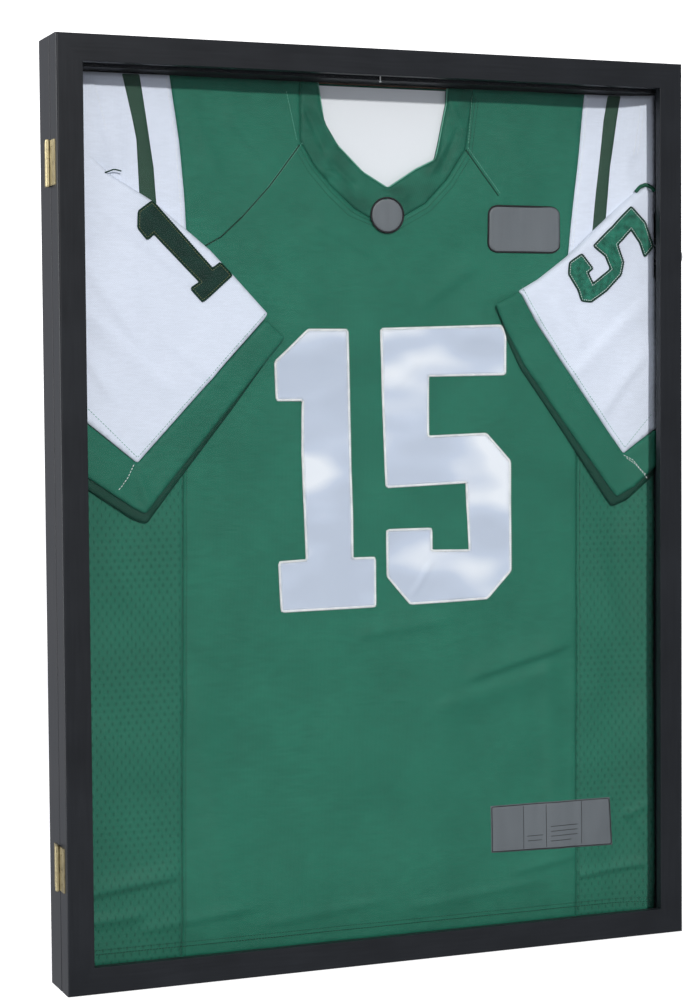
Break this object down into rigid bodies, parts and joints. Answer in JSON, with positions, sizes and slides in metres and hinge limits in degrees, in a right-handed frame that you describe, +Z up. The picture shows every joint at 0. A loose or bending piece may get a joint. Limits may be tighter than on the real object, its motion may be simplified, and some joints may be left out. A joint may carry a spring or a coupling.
{
  "type": "jersey display frame",
  "caption": "Wall-hung black wooden display frame with a hinged clear door, brass hinges and a key lock, showing a folded green and white sports jersey.",
  "frame": {"origin": "on the wall plane, midway between the two keyhole hangers; front faces -Y", "axes": "+Z up, +X to the right seen from the front, +Y into the wall"},
  "size_m": [0.6821, 0.062, 0.889],
  "materials": {
    "black_wood": "satin",
    "pale_wood": "matte",
    "hardboard": "matte",
    "white_board": "matte",
    "brass": "satin",
    "acrylic": "gloss",
    "felt": "matte",
    "steel": "satin",
    "green_cloth": "satin",
    "green_mesh": "satin",
    "white_cloth": "satin",
    "silver_twill": "satin",
    "green_twill": "satin",
    "patch_cloth": "satin"
  },
  "bodies": {
    "case": {"case_rail_top": "black_wood", "case_rail_bottom": "black_wood", "case_rail_left": "black_wood", "case_rail_right": "black_wood", "case_dowels": "pale_wood", "back_panel": "hardboard", "back_panel_screws": "steel", "hanger_plate_left": "steel", "hanger_plate_right": "steel", "hanger_screws": "steel", "hinge_upper_case_leaf": "brass", "hinge_lower_case_leaf": "brass", "hinge_upper_pin": "brass", "hinge_lower_pin": "brass", "hinge_case_screws": "brass", "lock_body": "steel", "lock_nut": "steel", "closing_magnets": "steel", "door_bumpers": "felt", "shirt_board": "white_board", "shirt_torso": "green_cloth", "shirt_side_left": "green_mesh", "shirt_side_right": "green_mesh", "shirt_collar": "green_cloth", "shirt_shoulder_left": "white_cloth", "shirt_shoulder_right": "white_cloth", "shirt_sleeve_left": "white_cloth", "shirt_sleeve_right": "white_cloth", "shirt_cuff_left": "green_cloth", "shirt_cuff_right": "green_cloth", "shirt_front_numbers": "silver_twill", "shirt_sleeve_numbers": "green_twill", "collar_patch": "patch_cloth", "chest_patch": "patch_cloth", "hem_tag": "patch_cloth"},
    "door": {"door_rail_top": "black_wood", "door_rail_bottom": "black_wood", "door_stile_left": "black_wood", "door_stile_right": "black_wood", "door_corner_splines": "pale_wood", "clear_panel": "acrylic", "panel_strip_top": "black_wood", "panel_strip_bottom": "black_wood", "panel_strip_left": "black_wood", "panel_strip_right": "black_wood", "panel_nails": "steel", "hinge_upper_door_leaf": "brass", "hinge_lower_door_leaf": "brass", "hinge_door_screws": "brass", "magnet_strikes": "steel", "lock_strike": "steel", "lock_strike_screws": "steel"},
    "lock_turning": {"lock_plug": "steel", "lock_cam": "steel", "lock_cam_screw": "steel"},
    "key": {"lock_key": "steel"}
  },
  "joints": [
    {"name": "door_hinge", "type": "hinge", "parent": "case", "child": "door", "pos_m": [-0.3285, -0.0375, -0.431], "axis": [0, 0, -1], "range_deg": [0, 180]},
    {"name": "lock_turn", "type": "hinge", "parent": "case", "child": "lock_turning", "pos_m": [0.326, -0.0185, -0.1785], "axis": [-1, 0, 0], "range_deg": [0, 90]},
    {"name": "key_pull", "type": "slide", "parent": "lock_turning", "child": "key", "axis": [1, 0, 0], "range_m": [0, 0.04]}
  ]
}
